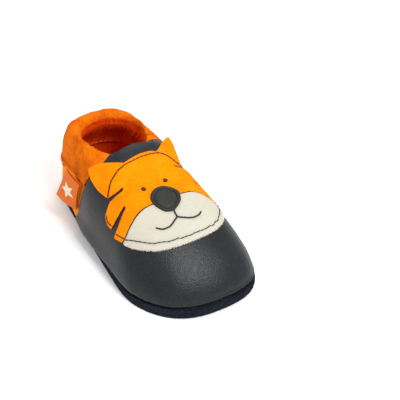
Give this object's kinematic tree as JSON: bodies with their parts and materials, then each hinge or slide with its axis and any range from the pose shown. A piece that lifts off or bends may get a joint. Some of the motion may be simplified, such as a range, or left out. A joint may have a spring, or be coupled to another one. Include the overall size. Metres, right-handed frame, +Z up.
{
  "type": "baby bootie",
  "caption": "Soft-soled leather baby bootie with an animal face on the toe, a puffed elastic collar, free ears and a folded side label.",
  "frame": {"origin": "on the ground under the middle of the shoe, at the resting face of the sole", "axes": "-Y towards the toe, +Y towards the heel, -X the outer side of a right foot, +Z up"},
  "size_m": [0.0716, 0.1369, 0.0573],
  "materials": {
    "sole_suede": "napped suede, dark navy",
    "foam": "soft closed-cell foam",
    "insole_suede": "napped suede, red-orange",
    "vamp_leather": "smooth matt leather, charcoal",
    "heel_suede": "napped suede, orange",
    "elastic": "woven elastic",
    "face_suede": "fine nubuck, yellow-orange",
    "muzzle_suede": "fine nubuck, cream",
    "nose_leather": "smooth matt leather, charcoal",
    "dark_thread": "satin sewing thread, near black",
    "brown_thread": "satin sewing thread, brown",
    "seam_thread": "polyester sewing thread, dark grey",
    "heel_thread": "polyester sewing thread, orange",
    "label_tape": "woven satin tape, orange",
    "label_print": "woven mark, off-white"
  },
  "bodies": {
    "shoe": {"outsole": "sole_suede", "midsole_pad": "foam", "insole": "insole_suede", "vamp": "vamp_leather", "vamp_hem": "vamp_leather", "heel_quarter": "heel_suede", "collar": "heel_suede", "elastic_band": "elastic", "head": "face_suede", "muzzle": "muzzle_suede", "nose": "nose_leather", "eyes": "dark_thread", "mouth_stitching": "dark_thread", "head_stitching": "brown_thread", "muzzle_stitching": "brown_thread", "nose_stitching": "dark_thread", "outer_seam_stitching": "seam_thread", "inner_seam_stitching": "seam_thread", "hem_stitching": "seam_thread", "casing_stitching": "heel_thread", "sole_stitching": "seam_thread"},
    "outer_ear": {"ear_outer": "face_suede"},
    "inner_ear": {"ear_inner": "face_suede"},
    "side_label": {"label": "label_tape", "label_star": "label_print"}
  },
  "joints": [
    {"name": "outer_ear_fold", "type": "hinge", "parent": "shoe", "child": "outer_ear", "pos_m": [-0.01029, 0.00035, 0.05568], "axis": [0.662, 0.4214, 0.6198], "range_deg": [0, 100], "stiffness_Nm_per_rad": 0.0006},
    {"name": "inner_ear_fold", "type": "hinge", "parent": "shoe", "child": "inner_ear", "pos_m": [0.01145, 0.00069, 0.05569], "axis": [0.6626, -0.4391, -0.6068], "range_deg": [-8, 88], "stiffness_Nm_per_rad": 0.0006},
    {"name": "label_fold", "type": "hinge", "parent": "shoe", "child": "side_label", "pos_m": [-0.02934, 0.02009, 0.02523], "axis": [0.0214, -0.2494, 0.9682], "range_deg": [-6, 110], "stiffness_Nm_per_rad": 0.0006}
  ]
}
